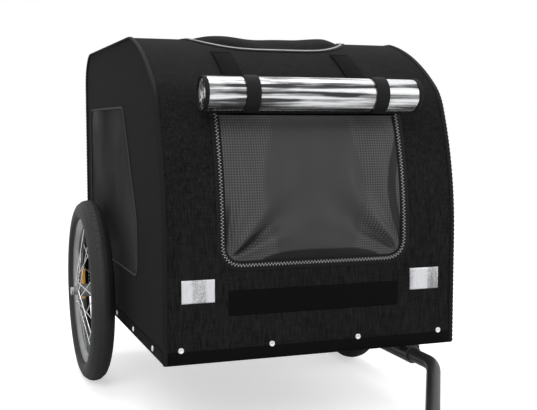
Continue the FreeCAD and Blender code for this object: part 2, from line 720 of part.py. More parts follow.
def check(things):
    """Stops the build if any object failed or any sub-part has no valid solid."""
    for thing in DOC.Objects:
        if "Invalid" in thing.State or "Error" in thing.State:
            raise RuntimeError(f"{thing.Label} failed to recompute: {thing.State}")
    for thing in things:
        shape = thing.Shape
        if shape.isNull() or not shape.isValid() or not shape.Solids:
            raise RuntimeError(f"{thing.Label} has no valid solid")


def main():
    """Builds every sub-part, checks them and writes one STEP file for each."""
    fill_sheet()
    base_frame()
    hoops()
    axle_mounts()
    floor()
    cover_panels()
    side_panels()
    front_roll()
    rear_roll()
    wheels()
    tow_socket()
    tow_bar()
    DOC.recompute()
    check(NODES)
    os.makedirs("parts", exist_ok=True)
    for thing in NODES:
        thing.Shape.exportStep(f"parts/{thing.Label}.step")
        box_size = thing.Shape.BoundBox
        print(f"{thing.Label:26s} {len(thing.Shape.Solids):3d} solids  {thing.Shape.Volume / 1000:9.1f} cm3  "
              f"x {box_size.XMin:.1f}..{box_size.XMax:.1f}  y {box_size.YMin:.1f}..{box_size.YMax:.1f}  "
              f"z {box_size.ZMin:.1f}..{box_size.ZMax:.1f}")


main()
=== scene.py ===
"""The look of a two-wheeled dog trailer: fabric, mesh, zips, snaps, film, metal and rubber.

Everything is in metres: +Z up, -Y forward, +X to the trailer's own left, the floor at z = 0.
"""
import logging
import math
from dataclasses import dataclass
from enum import Enum
from typing import Any, Sequence

import bmesh
import bpy
import numpy as np
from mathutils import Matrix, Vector


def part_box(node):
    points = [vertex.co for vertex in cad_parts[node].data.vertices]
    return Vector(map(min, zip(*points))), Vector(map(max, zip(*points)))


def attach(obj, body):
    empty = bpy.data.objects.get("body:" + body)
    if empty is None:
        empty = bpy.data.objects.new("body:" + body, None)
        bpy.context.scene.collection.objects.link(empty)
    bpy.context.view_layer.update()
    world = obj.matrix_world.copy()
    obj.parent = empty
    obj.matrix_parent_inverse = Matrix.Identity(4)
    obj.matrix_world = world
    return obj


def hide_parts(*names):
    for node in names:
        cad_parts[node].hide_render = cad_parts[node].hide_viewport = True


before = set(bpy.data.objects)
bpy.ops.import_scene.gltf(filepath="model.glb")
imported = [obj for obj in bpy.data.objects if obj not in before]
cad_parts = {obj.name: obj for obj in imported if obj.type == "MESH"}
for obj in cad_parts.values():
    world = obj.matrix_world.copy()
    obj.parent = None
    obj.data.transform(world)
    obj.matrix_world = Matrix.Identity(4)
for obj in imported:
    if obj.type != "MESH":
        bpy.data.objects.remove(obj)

LOG = logging.getLogger("dog_trailer")
Array = np.ndarray
Triple = tuple[float, float, float]
Pair = tuple[float, float]
Colour = Triple
Socket = bpy.types.NodeSocket


class Body(Enum):
    """The rigid bodies that pieces ride on."""

    CABIN = "cabin"
    FRONT_DOOR = "front_door_flap"
    REAR_DOOR = "rear_door_flap"
    HATCH = "roof_hatch_flap"
    LEFT_WHEEL = "left_wheel"
    RIGHT_WHEEL = "right_wheel"


# ---- meshes


def add_piece(name: str, points: Array, faces: Array, finish: "Finish",
              slot: str, body: Body = Body.CABIN, smooth: bool = True,
              closed: bool = True) -> bpy.types.Object:
    """Puts points and quads into a new object, dresses it and makes it ride.

    Args:
        name: The piece's name.
        points: N x 3 places in metres.
        faces: M x 4 indexes into points.
        finish: The finish whose material it wears.
        slot: Not used.
        body: The body that it rides on.
        smooth: Whether its faces are shaded smooth.
        closed: Whether it is a closed shell, whose doubles are merged and whose faces are
            turned outwards.

    Returns:
        The new object.
    """
    mesh = bpy.data.meshes.new(name)
    mesh.from_pydata(points.tolist(), [], faces.tolist())
    if closed:
        shell = bmesh.new()
        shell.from_mesh(mesh)
        bmesh.ops.remove_doubles(shell, verts=shell.verts, dist=1e-7)
        bmesh.ops.recalc_face_normals(shell, faces=shell.faces)
        shell.to_mesh(mesh)
        shell.free()
    mesh.polygons.foreach_set("use_smooth", np.full(len(mesh.polygons), smooth))
    mesh.materials.append(finish.build())
    mesh.update()
    made = bpy.data.objects.new(name, mesh)
    bpy.context.collection.objects.link(made)
    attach(made, body.value)
    LOG.info("%s: %d faces", name, len(mesh.polygons))
    return made


def grid_faces(rows: int, columns: int, wrap: bool = False) -> Array:
    """Quads of a rows by columns grid, row after row; wrap joins the last column to the first."""
    across = columns if wrap else columns - 1
    i, j = np.meshgrid(np.arange(rows - 1), np.arange(across), indexing="ij")
    k = (j + 1) % columns
    quads = np.stack([i * columns + j, i * columns + k,
                      (i + 1) * columns + k, (i + 1) * columns + j], -1)
    return quads.reshape(-1, 4)


def unit_rows(rows: Array) -> Array:
    """Each row divided by its own length."""
    return rows / np.linalg.norm(rows, axis=1)[:, None]


def eased(share: Array) -> Array:
    """A quarter sine wave: 0 at a share of 0 or less, rising to 1 at a share of 1 or more."""
    return np.sin(np.clip(share, 0, 1) * np.pi / 2)


def block_faces(count: int) -> Array:
    """Quads of count blocks, each with four low points and then the four above them."""
    block = np.array([[3, 2, 1, 0], [4, 5, 6, 7], [0, 1, 5, 4],
                      [1, 2, 6, 5], [2, 3, 7, 6], [3, 0, 4, 7]])
    return (block[None] + 8 * np.arange(count)[:, None, None]).reshape(-1, 4)


def thickened(made: bpy.types.Object, thickness: float) -> None:
    """Gives a sheet a thickness, inwards from its face."""
    wall = made.modifiers.new("cloth_thickness", "SOLIDIFY")
    wall.thickness, wall.offset = thickness, -1.0


def mark_points(made: bpy.types.Object, name: str, values: Array) -> None:
    """Stores one value for each point, for the material to read."""
    mark = made.data.attributes.new(name, "FLOAT", "POINT")
    mark.data.foreach_set("value", values.astype(np.float32).ravel())


def swept(path: Array, section: Array, up: Array, close_ends: bool = True) -> tuple[Array, Array]:
    """Carries a closed section along a path: point = path + section_x * side + section_y * up.

    Args:
        path: N x 3 line.
        section: M x 2 closed outline, anticlockwise.
        up: N x 3 normals of the surface that the path lies on.
        close_ends: Whether each end shrinks to a point.

    Returns:
        Points and quads.
    """
    along = unit_rows(np.gradient(path, axis=0))
    side = unit_rows(np.cross(along, up))
    rings = (path[:, None] + section[None, :, :1] * side[:, None]
             + section[None, :, 1:] * up[:, None])
    if close_ends:
        centre = section.mean(axis=0)
        caps = path[[0, -1]] + centre[0] * side[[0, -1]] + centre[1] * up[[0, -1]]
        first = np.repeat(caps[:1, None], len(section), 1)
        last = np.repeat(caps[1:, None], len(section), 1)
        rings = np.concatenate([first, rings, last])
    return rings.reshape(-1, 3), grid_faces(len(rings), len(section), wrap=True)


def oval(width: float, height: float, count: int = 8, lift: float = 0.0) -> Array:
    """A closed oval section, width by height, with its middle raised by lift."""
    turn = np.linspace(0, 2 * np.pi, count, endpoint=False)
    return np.stack([width / 2 * np.cos(turn), lift + height / 2 * np.sin(turn)], -1)


def flat_strip(width: float, height: float) -> Array:
    """A closed strip section with rounded long edges, resting on its surface."""
    w, h = width / 2, height
    return np.array([[w, 0], [w, h * 0.6], [w - h / 2, h], [h / 2 - w, h], [-w, h * 0.6], [-w, 0]])


def stacked(parts: Sequence[tuple[Array, Array]]) -> tuple[Array, Array]:
    """Joins several point and quad sets into one."""
    points, faces, base = [], [], 0
    for some_points, some_faces in parts:
        points.append(some_points)
        faces.append(some_faces + base)
        base += len(some_points)
    return np.concatenate(points), np.concatenate(faces)


def running(line: Array) -> Array:
    """Each point's distance along a line from its start."""
    return np.concatenate([[0], np.cumsum(np.linalg.norm(np.diff(line, axis=0), axis=1))])


def resampled(line: Array, step: float) -> Array:
    """A line's points spaced evenly, step apart, worked out from its running length."""
    run = running(line)
    at = np.linspace(0, run[-1], max(int(run[-1] / step) + 1, 2))
    return np.stack([np.interp(at, run, line[:, i]) for i in range(line.shape[1])], -1)


# ---- the cover's shape


@dataclass(frozen=True)
class Profile:
    """The cabin's side: a straight front foot, four tangent arcs, a level roof and a round rear."""

    front: float = -0.088
    rear: float = 0.712
    foot: float = 0.161
    bend: float = 0.360
    radii: tuple[float, ...] = (0.650, 0.100, 0.425, 0.060)
    turns: tuple[float, ...] = (22.0, 28.0, 28.0, 12.0)
    rear_radius: float = 0.075
    half_width: float = 0.275
    arc_points: int = 24
    spacing: float = 0.002
    roof_above_bend: float = 0.2

    def line(self) -> Array:
        """The profile as (y, z) points from front foot to rear foot, a few millimetres apart."""
        rows = [np.array([[self.front, self.foot], [self.front, self.bend]])]
        y, z, turned = self.front, self.bend, 0.0
        for radius, turn in zip(self.radii, self.turns):
            angles = np.radians(np.linspace(turned, turned + turn, self.arc_points))
            cy, cz = y + radius * math.cos(angles[0]), z - radius * math.sin(angles[0])
            arc = np.stack([cy - radius * np.cos(angles), cz + radius * np.sin(angles)], -1)
            rows.append(arc)
            (y, z), turned = arc[-1], turned + turn
        angles = np.radians(np.linspace(90, 0, self.arc_points))
        cy, cz = self.rear - self.rear_radius, z - self.rear_radius
        rows.append(np.stack([cy + self.rear_radius * np.cos(angles),
                              cz + self.rear_radius * np.sin(angles)], -1))
        rows.append(np.array([[self.rear, self.foot]]))
        return resampled(np.concatenate(rows), self.spacing)

    def lengths(self) -> tuple[Array, Array]:
        """The profile's points and each one's running length from the front foot."""
        line = self.line()
        return line, running(line)

    def at(self, run: Array, lift: Array | float = 0.0) -> tuple[Array, Array]:
        """Places and outward normals, in (y, z), at running lengths, raised off the cover by lift."""
        line, lengths = self.lengths()
        slope = np.gradient(line, lengths, axis=0)
        place = np.stack([np.interp(run, lengths, line[:, i]) for i in (0, 1)], -1)
        tangent = np.stack([np.interp(run, lengths, slope[:, i]) for i in (0, 1)], -1)
        tangent /= np.linalg.norm(tangent, axis=-1)[..., None]
        normal = np.stack([-tangent[..., 1], tangent[..., 0]], -1)
        return place + normal * np.asarray(lift)[..., None], normal

    def run_at_height(self, z: float) -> float:
        """The running length at which the front wall reaches a height."""
        line, lengths = self.lengths()
        top = int(np.argmax(line[:, 1] > line[:, 1].max() - 1e-5))
        return float(np.interp(z, line[:top, 1], lengths[:top]))

    def run_on_roof(self, y: float) -> float:
        """The running length at which the roof passes a place along y."""
        line, lengths = self.lengths()
        keep = line[:, 1] > self.bend + self.roof_above_bend
        return float(np.interp(y, line[keep, 0], lengths[keep]))


PROFILE = Profile()


def on_cover(x: Array, run: Array, lift: Array | float = 0.0) -> tuple[Array, Array]:
    """3-D places and normals on the cover at widths x and running lengths."""
    x, run, lift = np.broadcast_arrays(*(np.asarray(each, float) for each in (x, run, lift)))
    place, normal = PROFILE.at(run, lift)
    zero = np.zeros_like(x)[..., None]
    return np.concatenate([x[..., None], place], -1), np.concatenate([zero, normal], -1)


# ---- finishes


class Nodes:
    """A small helper that builds one node material."""

    def __init__(self, name: str) -> None:
        """Starts an empty material with one shader and its output."""
        self.material = bpy.data.materials.new(name)
        self.material.use_nodes = True
        self.tree = self.material.node_tree
        self.shader = self.tree.nodes["Principled BSDF"]
        self.place = self.add("ShaderNodeTexCoord").outputs["Object"]

    def add(self, kind: str, **settings: Any) -> bpy.types.Node:
        """Adds a node; a setting named after an input sets it, any other sets a property."""
        node = self.tree.nodes.new(kind)
        for key, value in settings.items():
            socket = key.replace("_", " ")
            if socket in node.inputs:
                if isinstance(value, Socket):
                    self.tree.links.new(value, node.inputs[socket])
                else:
                    node.inputs[socket].default_value = value
            else:
                setattr(node, key, value)
        return node

    def scaled(self, scale: Triple) -> Socket:
        """Object coordinates multiplied by a scale."""
        return self.add("ShaderNodeMapping", Vector=self.place, Scale=scale).outputs["Vector"]

    def noise(self, scale: Triple, detail: float = 3.0) -> Socket:
        """Noise stretched by a scale in cells per metre."""
        made = self.add("ShaderNodeTexNoise", Vector=self.scaled(scale), Scale=1.0, Detail=detail)
        return made.outputs["Fac"]

    def wave(self, axis: str, per_metre: float) -> Socket:
        """Even waves along one axis, per_metre of them in a metre."""
        made = self.add("ShaderNodeTexWave", bands_direction=axis, Vector=self.place,
                        Scale=per_metre * math.pi / 10)
        return made.outputs["Fac"]

    def maths(self, operation: str, a: Any, b: Any = 0.0) -> Socket:
        """One sum of two values or sockets."""
        node = self.add("ShaderNodeMath", operation=operation)
        for socket, value in zip(node.inputs, (a, b)):
            if isinstance(value, Socket):
                self.tree.links.new(value, socket)
            else:
                socket.default_value = value
        return node.outputs[0]

    def times(self, a: Any, b: Any) -> Socket:
        """Two values or sockets multiplied."""
        return self.maths("MULTIPLY", a, b)

    def plus(self, a: Any, b: Any) -> Socket:
        """Two values or sockets added."""
        return self.maths("ADD", a, b)

    def ramp(self, fac: Socket, stops: Sequence[tuple[float, Colour]]) -> Socket:
        """Colours along a value."""
        node = self.add("ShaderNodeValToRGB", Fac=fac)
        marks = node.color_ramp.elements
        while len(marks) < len(stops):
            marks.new(0.5)
        for mark, (place, colour) in zip(marks, stops):
            mark.position = place
            mark.color = (*colour, 1.0)
        return node.outputs["Color"]

    def set(self, **values: Any) -> None:
        """Sets or links the shader's own sockets."""
        for key, value in values.items():
            socket = self.shader.inputs[key.replace("_", " ")]
            if isinstance(value, Socket):
                self.tree.links.new(value, socket)
            else:
                socket.default_value = value

    def bump(self, height: Socket, strength: float, distance: float) -> None:
        """Bumps the surface by a height."""
        node = self.add("ShaderNodeBump", Height=height, Strength=strength, Distance=distance)
        self.tree.links.new(node.outputs["Normal"], self.shader.inputs["Normal"])


class Finish:
    """A finish that is built once and then shared."""

    name: str
    made: dict[str, bpy.types.Material] = {}

    def build(self) -> bpy.types.Material:
        """Returns the material, making it the first time."""
        if self.name not in Finish.made:
            nodes = Nodes(self.name)
            self.dress(nodes)
            Finish.made[self.name] = nodes.material
        return Finish.made[self.name]

    def dress(self, nodes: Nodes) -> None:
        """Fills the material's nodes."""
        raise NotImplementedError


@dataclass(frozen=True)
class Weave(Finish):
    """Woven cloth with slubbed threads: two crossed waves, and noise drawn along the threads."""

    name: str
    dark: Colour
    light: Colour
    threads: float = 1400.0
    slub: float = 260.0
    roughness: float = 0.85
    relief: float = 0.5

    def dress(self, nodes: Nodes) -> None:
        """Mixes upright and level slubs into the colour and raises the threads."""
        upright = nodes.noise((self.slub * 4, self.slub * 4, self.slub / 3))
        level = nodes.noise((self.slub / 2, self.slub / 2, self.slub * 5))
        wear = nodes.noise((9.0,) * 3, 2.0)
        mixed = nodes.plus(nodes.times(upright, 0.62), nodes.times(level, 0.3))
        mixed = nodes.plus(mixed, nodes.times(wear, 0.12))
        nodes.set(Base_Color=nodes.ramp(mixed, ((0.38, self.dark), (0.66, self.light))),
                  Roughness=self.roughness, Specular_IOR_Level=0.09)
        crossed = nodes.times(nodes.wave("X", self.threads), nodes.wave("Z", self.threads))
        across = nodes.times(nodes.wave("Y", self.threads), nodes.wave("Z", self.threads))
        height = nodes.plus(nodes.maths("MAXIMUM", crossed, across), mixed)
        nodes.bump(height, self.relief, 0.0004)


@dataclass(frozen=True)
class Mesh(Finish):
    """Fine knitted mesh: rows of small pale knots on darker grey threads."""

    name: str
    thread: Colour
    knot: Colour
    per_metre: float = 420.0

    def dress(self, nodes: Nodes) -> None:
        """Lightens the crossings of two waves into knots, and darkens the cloth with painted shade at its
        foot, its sides and its folds.
        """
        band = nodes.add("ShaderNodeAttribute", attribute_name="open_band").outputs["Fac"]
        knots = nodes.times(nodes.wave("X", self.per_metre), nodes.wave("Z", self.per_metre))
        knots = nodes.times(nodes.maths("POWER", knots, 2.0), band)
        drift = nodes.noise((30.0, 30.0, 14.0), 2.0)
        value = nodes.plus(nodes.times(knots, 0.8), nodes.times(drift, 0.25))
        cloth = nodes.ramp(value, ((0.18, self.thread), (0.75, self.knot)))
        # painted shade: this stored light share, roughened by noise, darkens the mesh at the door's foot,
        # its sides and its folds
        rim = nodes.add("ShaderNodeAttribute", attribute_name="painted_light_share").outputs["Fac"]
        ragged_painted_light = nodes.plus(rim, nodes.times(nodes.noise((26.0,) * 3, 2.0), 0.25))
        shade = nodes.ramp(ragged_painted_light, ((0.28, (0.03, 0.03, 0.03)), (0.62, (1.0, 1.0, 1.0))))
        mixed = nodes.add("ShaderNodeMix", data_type="RGBA", blend_type="MULTIPLY")
        mixed.inputs["Factor"].default_value = 1.0
        nodes.tree.links.new(cloth, mixed.inputs[6])
        nodes.tree.links.new(shade, mixed.inputs[7])
        nodes.set(Base_Color=mixed.outputs[2], Roughness=0.62, Specular_IOR_Level=0.3)
        nodes.bump(nodes.maths("SUBTRACT", 1.0, knots), 0.4, 0.0003)


@dataclass(frozen=True)
class Film(Finish):
    """Smooth plastic film, wavy where it was folded."""

    name: str
    colour: Colour
    roughness: float = 0.3
    metallic: float = 0.0
    wrinkle: float = 0.3
    stretch: Triple = (6.0, 60.0, 60.0)
    coat: float = 0.3
    gleam: float = 0.2

    def dress(self, nodes: Nodes) -> None:
        """Long streaks of noise tint, roughen and bump the film."""
        streak = nodes.noise(self.stretch, 4.0)
        low = tuple(c * 0.72 for c in self.colour)
        high = tuple(min(c * 1.2, 1.0) for c in self.colour)
        nodes.set(Base_Color=nodes.ramp(streak, ((0.3, low), (0.7, high))), Metallic=self.metallic,
                  Roughness=nodes.times(streak, self.roughness * 2), Coat_Weight=self.coat,
                  Coat_Roughness=0.15, Specular_IOR_Level=self.gleam)
        nodes.bump(streak, self.wrinkle, 0.002)


@dataclass(frozen=True)
class Streaked(Finish):
    """Clear film rolled tight: bright and dark layers show as long streaks round and along the roll."""

    name: str
    bright: Colour
    dark: Colour

    def dress(self, nodes: Nodes) -> None:
        """Noise drawn out along the roll and warped by slower noise picks bright or dark layers."""
        long_streak = nodes.noise((3.5, 120.0, 120.0), 5.0)
        slow = nodes.noise((9.0, 30.0, 30.0), 3.0)
        mixed = nodes.plus(nodes.times(long_streak, 0.7), nodes.times(slow, 0.35))
        middle = tuple((a + b) / 2.4 for a, b in zip(self.bright, self.dark))
        stops = ((0.46, self.dark), (0.51, middle), (0.57, self.bright))
        nodes.set(Base_Color=nodes.ramp(mixed, stops), Metallic=0.75,
                  Roughness=0.2, Coat_Weight=0.25, Coat_Roughness=0.08)
        nodes.bump(mixed, 0.6, 0.004)


@dataclass(frozen=True)
class Hard(Finish):
    """Metal, moulded plastic, rubber or paint with fine grain and worn, duller patches."""

    name: str
    colour: Colour
    metallic: float = 0.0
    roughness: float = 0.4
    grain: float = 900.0
    relief: float = 0.12
    coat: float = 0.0

    def dress(self, nodes: Nodes) -> None:
        """Fine noise grains the surface and slow noise changes its colour and shine."""
        fine = nodes.noise((self.grain,) * 3, 2.0)
        slow = nodes.noise((22.0,) * 3, 3.0)
        low = tuple(c * 0.82 for c in self.colour)
        high = tuple(min(c * 1.14, 1.0) for c in self.colour)
        rough = nodes.plus(nodes.times(slow, 0.16), self.roughness - 0.08)
        nodes.set(Base_Color=nodes.ramp(slow, ((0.3, low), (0.7, high))), Metallic=self.metallic,
                  Roughness=rough, Coat_Weight=self.coat)
        nodes.bump(fine, self.relief, 0.0003)


@dataclass(frozen=True)
class Webbing(Finish):
    """Ribbed polyester tape: close ribs along its length."""

    name: str
    colour: Colour
    axis: str = "X"

    def dress(self, nodes: Nodes) -> None:
        """Ribs darken the tape and raise it."""
        ribs = nodes.wave(self.axis, 620.0)
        fleck = nodes.noise((700.0,) * 3, 2.0)
        low = tuple(c * 0.6 for c in self.colour)
        high = tuple(c * 1.5 for c in self.colour)
        nodes.set(Base_Color=nodes.ramp(nodes.times(ribs, fleck), ((0.1, low), (0.6, high))),
                  Roughness=0.72, Specular_IOR_Level=0.2)
        nodes.bump(ribs, 0.5, 0.0004)


@dataclass(frozen=True)
class Reflector(Finish):
    """Silver retro-reflective cloth or a prismatic lens: fine honeycomb cells over soft folds."""

    name: str
    colour: Colour
    cells: float = 500.0
    metallic: float = 0.35

    def dress(self, nodes: Nodes) -> None:
        """Cells tint the surface, upright folds shade it."""
        cell = nodes.add("ShaderNodeTexVoronoi", Vector=nodes.scaled((self.cells,) * 3), Scale=1.0)
        fold = nodes.noise((38.0, 38.0, 5.0), 2.0)
        value = nodes.plus(nodes.times(cell.outputs["Distance"], 0.25), fold)
        low = tuple(c * 0.38 for c in self.colour)
        nodes.set(Base_Color=nodes.ramp(value, ((0.50, low), (0.66, self.colour))), Roughness=0.38,
                  Metallic=self.metallic)
        nodes.bump(value, 0.35, 0.001)


COVER = Weave("heather_cover", (0.0014, 0.0014, 0.0015), (0.0150, 0.0150, 0.0156), slub=130.0)
SIDE = Weave("side_cover", (0.0018, 0.0018, 0.002), (0.0085, 0.0085, 0.009), slub=170.0)
HEM = Weave("hem_band_cloth", (0.0006, 0.0006, 0.0006), (0.0018, 0.0018, 0.0018), relief=0.3)
MAT = Weave("mat_cloth", (0.05, 0.05, 0.053), (0.12, 0.12, 0.125), threads=700.0)
DOOR_MESH = Mesh("door_mesh", (0.031, 0.031, 0.032), (0.115, 0.115, 0.118), 215.0)
WINDOW = Film("window_film", (0.0125, 0.0125, 0.013), 0.8, wrinkle=0.03, stretch=(3.0, 3.0, 3.0), coat=0.0,
              gleam=0.08)
ROLL = Streaked("silver_roll_film", (0.80, 0.81, 0.82), (0.035, 0.035, 0.038))
TAPE = Webbing("black_webbing", (0.0028, 0.0028, 0.003), "X")
PIPING = Webbing("grey_piping", (0.03, 0.03, 0.032), "Z")
BINDING = Webbing("black_binding", (0.0022, 0.0022, 0.0024), "Z")
ZIP = Hard("zip_metal", (0.34, 0.345, 0.35), 0.4, 0.4)
SNAP = Hard("snap_silver", (0.72, 0.73, 0.74), 0.55, 0.3)
PATCH = Reflector("silver_patch", (0.62, 0.63, 0.65))
AMBER = Reflector("amber_lens", (0.78, 0.36, 0.03), 420.0, 0.0)
TYRE = Hard("tyre_rubber", (0.007, 0.007, 0.0072), 0.0, 0.66, 1500.0, 0.3)
ALLOY = Hard("rim_alloy", (0.30, 0.305, 0.31), 0.7, 0.36)
CHROME = Hard("spoke_chrome", (0.78, 0.79, 0.8), 0.95, 0.2)
PAINT = Hard("frame_powder_coat", (0.014, 0.014, 0.015), 0.0, 0.45, 1300.0, 0.2, 0.25)
STEEL = Hard("bright_steel", (0.55, 0.56, 0.57), 0.9, 0.32)
BOARD = Weave("floor_board_cloth", (0.01, 0.01, 0.011), (0.028, 0.028, 0.03))
RUBBER = Hard("coupler_rubber", (0.016, 0.016, 0.016), 0.0, 0.6)
PLASTIC = Hard("black_plastic", (0.016, 0.016, 0.017), 0.0, 0.4)
HOOP = Hard("hoop_powder_coat", (0.02, 0.02, 0.021), 0.0, 0.4)


def dress_nodes() -> None:
    """Gives every carried-over CAD node its finish."""
    rails = ("left_base_rail", "right_base_rail", "front_cross_tube", "tow_cross_tube", "axle_cross_tube",
             "rear_cross_tube", "left_axle_bracket", "right_axle_bracket", "tow_socket", "tow_tube")
    plan: dict[str, Finish] = {name: PAINT for name in rails}
    plan |= {name: HOOP for name in ("left_hoop", "right_hoop", "door_header_bar", "rear_roof_bar")}
    plan |= {name: COVER for name in ("front_panel", "roof_panel", "rear_panel")}
    plan |= {"floor_board": BOARD, "tow_lock_knob": PLASTIC, "coupler": RUBBER, "hitch_plate": STEEL}
    plan |= {"front_roll_straps": TAPE, "rear_roll_straps": TAPE}
    for side in ("left", "right"):
        plan |= {f"{side}_side_panel": SIDE, f"{side}_window": WINDOW, f"{side}_axle_pin": STEEL,
                 f"{side}_tyre": TYRE, f"{side}_rim": ALLOY, f"{side}_hub": ALLOY, f"{side}_spokes": CHROME,
                 f"{side}_spoke_reflectors": AMBER}
    for name, finish in plan.items():
        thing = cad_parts[name]
        thing.data.materials.clear()
        thing.data.materials.append(finish.build())


# ---- cover trim


@dataclass
class CoverTrim:
    """Hem, seam bindings, piping, snaps, patches and the hook strip on the cabin's cover."""

    hem: float = 0.022
    binding: float = 0.009
    snap: float = 0.0052
    snap_x: tuple[float, ...] = (-0.2475, -0.083, 0.083, 0.2475)
    side_snap_y: tuple[float, ...] = (0.0, 0.17, 0.34, 0.60)
    snap_z: float = 0.185
    side_snap_z: float = 0.172
    patch_x: Pair = (0.187, 0.246)
    patch_z: Pair = (0.265, 0.305)
    hook_strip: tuple[float, float, float, float] = (-0.163, 0.163, 0.239, 0.2835)
    tape: float = 0.0016
    scallop: float = 0.0011
    scallop_pitch: float = 0.008
    piping: Pair = (0.0046, 0.0036)
    tab_x: Pair = (-0.125, 0.115)
    tab_z: Pair = (0.645, 0.703)
    tab_width: float = 0.038
    window: tuple[Pair, ...] = (
        (0.130, 0.280), (0.657, 0.280), (0.657, 0.603), (0.257, 0.603), (0.130, 0.385))

    def hem_band(self) -> None:
        """A flat tape round the foot of the cover: a thin section carried round the four walls."""
        half, z = PROFILE.half_width, PROFILE.foot
        ring = np.array([[-half, PROFILE.front], [half, PROFILE.front], [half, PROFILE.rear],
                         [-half, PROFILE.rear]])
        parts = []
        for a, b in zip(ring, np.roll(ring, -1, axis=0)):
            line = resampled(np.stack([a, b]), 0.02)
            way = (b - a) / np.linalg.norm(b - a)
            out = np.array([way[1], -way[0], 0.0])
            path = np.column_stack([line, np.full(len(line), z + self.hem / 2 - 0.001)])
            parts.append(swept(path, flat_strip(self.hem, self.tape), np.tile(out, (len(path), 1))))
        add_piece("hem_band", *stacked(parts), HEM, "cover_fabric")

    def edge_bindings(self) -> None:
        """Bound seams along both side edges: a cord whose place across waves along the seam."""
        total = PROFILE.lengths()[1][-1]
        run = np.linspace(0, total, int(total / 0.001))
        for name, sign in (("left", 1), ("right", -1)):
            x = np.full(len(run), sign * (PROFILE.half_width - 0.001))
            path, normal = on_cover(x, run, 0.0004)
            points, faces = swept(path, oval(self.binding, 0.0034), normal)
            rings = len(run) + 2
            wave = self.scallop * np.abs(np.sin(run * math.pi / self.scallop_pitch))
            wave = np.concatenate([[0.0], wave, [0.0]])
            points = points.reshape(rings, -1, 3)
            points[:, :, 0] += sign * wave[:, None]
            add_piece(f"{name}_seam_binding", points.reshape(-1, 3), faces, BINDING, "cover_fabric")

    def window_piping(self) -> None:
        """A round cord round each side window: its outline's corners are arcs of 30 mm."""
        line = rounded(np.array(self.window), 0.03)
        for name, sign in (("left", 1), ("right", -1)):
            x = sign * (PROFILE.half_width + 0.0008)
            path = np.column_stack([np.full(len(line), x), line])
            normal = np.tile([sign, 0.0, 0.0], (len(path), 1))
            points, faces = swept(path, oval(*self.piping), normal, close_ends=False)
            add_piece(f"{name}_window_piping", points, faces, PIPING, "webbing")

    def snaps(self) -> None:
        """Domed round studs along the hem of all four walls."""
        parts = []
        for x in self.snap_x:
            for y, out in ((PROFILE.front, -1.0), (PROFILE.rear, 1.0)):
                at = np.array([x, y, self.snap_z])
                parts.append(stud(at, np.array([0.0, out, 0.0]), self.snap))
        for y in self.side_snap_y:
            for sign in (1.0, -1.0):
                at = np.array([sign * (PROFILE.half_width + self.tape), y, self.side_snap_z])
                parts.append(stud(at, np.array([sign, 0.0, 0.0]), self.snap))
        add_piece("hem_snaps", *stacked(parts), SNAP, "bright_steel")

    def patches(self) -> None:
        """Pleated silver patches at the low front corners, and the flat hook strip between them."""
        parts = []
        for sign in (1, -1):
            low, high = (sign * v for v in self.patch_x)
            parts.append(patch(min(low, high), max(low, high), *self.patch_z, pleat=0.0012))
        add_piece("reflective_patches", *stacked(parts), PATCH, "bright_steel", closed=False)
        add_piece("hook_strip", *patch(*self.hook_strip, pleat=0.0003), HEM, "webbing", closed=False)

    def strap_tabs(self) -> None:
        """Sewn tabs that the roll's straps hang from: flat strips carried down the curved front."""
        parts = []
        run = np.linspace(*(PROFILE.run_at_height(z) for z in self.tab_z), 24)
        for x in self.tab_x:
            path, normal = on_cover(np.full(len(run), x), run, 0.0021)
            parts.append(swept(path, flat_strip(self.tab_width, self.tape), normal))
            for end in (run[2], run[-3]):
                across = np.linspace(x - 0.017, x + 0.017, 18)
                line, out = on_cover(across, np.full(18, end), 0.0037)
                parts.append(swept(line, oval(0.0012, 0.0009), out))
        add_piece("strap_tabs", *stacked(parts), HEM, "webbing")

    def build(self) -> None:
        """Makes all the trim."""
        self.strap_tabs()
        self.hem_band()
        self.edge_bindings()
        self.window_piping()
        self.snaps()
        self.patches()


def rounded(corners: Array, radius: float) -> Array:
    """A closed outline with round corners: each is a quadratic curve between its tangent points."""
    rows = []
    befores, afters = np.roll(corners, 1, axis=0), np.roll(corners, -1, axis=0)
    for before, here, after in zip(befores, corners, afters):
        back = (before - here) / np.linalg.norm(before - here)
        ahead = (after - here) / np.linalg.norm(after - here)
        half = math.acos(float(np.clip(back @ ahead, -1, 1))) / 2
        reach = radius / math.tan(half)
        t = np.linspace(0, 1, 12)[:, None]
        start, end = here + back * reach, here + ahead * reach
        rows.append((1 - t) ** 2 * start + 2 * t * (1 - t) * here + t ** 2 * end)
    line = np.concatenate(rows)
    return resampled(np.concatenate([line, line[:1]]), 0.004)


def stud(at: Array, out: Array, radius: float) -> tuple[Array, Array]:
    """A dimpled stud at a place, pointing out: rings of (share of the radius, height)."""
    side = np.cross(out, [0.0, 0.0, 1.0])
    up = np.cross(side, out)
    turn = np.linspace(0, 2 * np.pi, 20, endpoint=False)
    shape = [(1.0, 0.0002), (1.0, 0.001), (0.86, 0.0019),
             (0.6, 0.0021), (0.5, 0.0013), (0.0, 0.0012)]
    circle = np.cos(turn)[:, None] * side + np.sin(turn)[:, None] * up
    rings = [at + out * height + radius * share * circle for share, height in shape]
    return np.concatenate(rings), grid_faces(len(rings), len(turn), wrap=True)


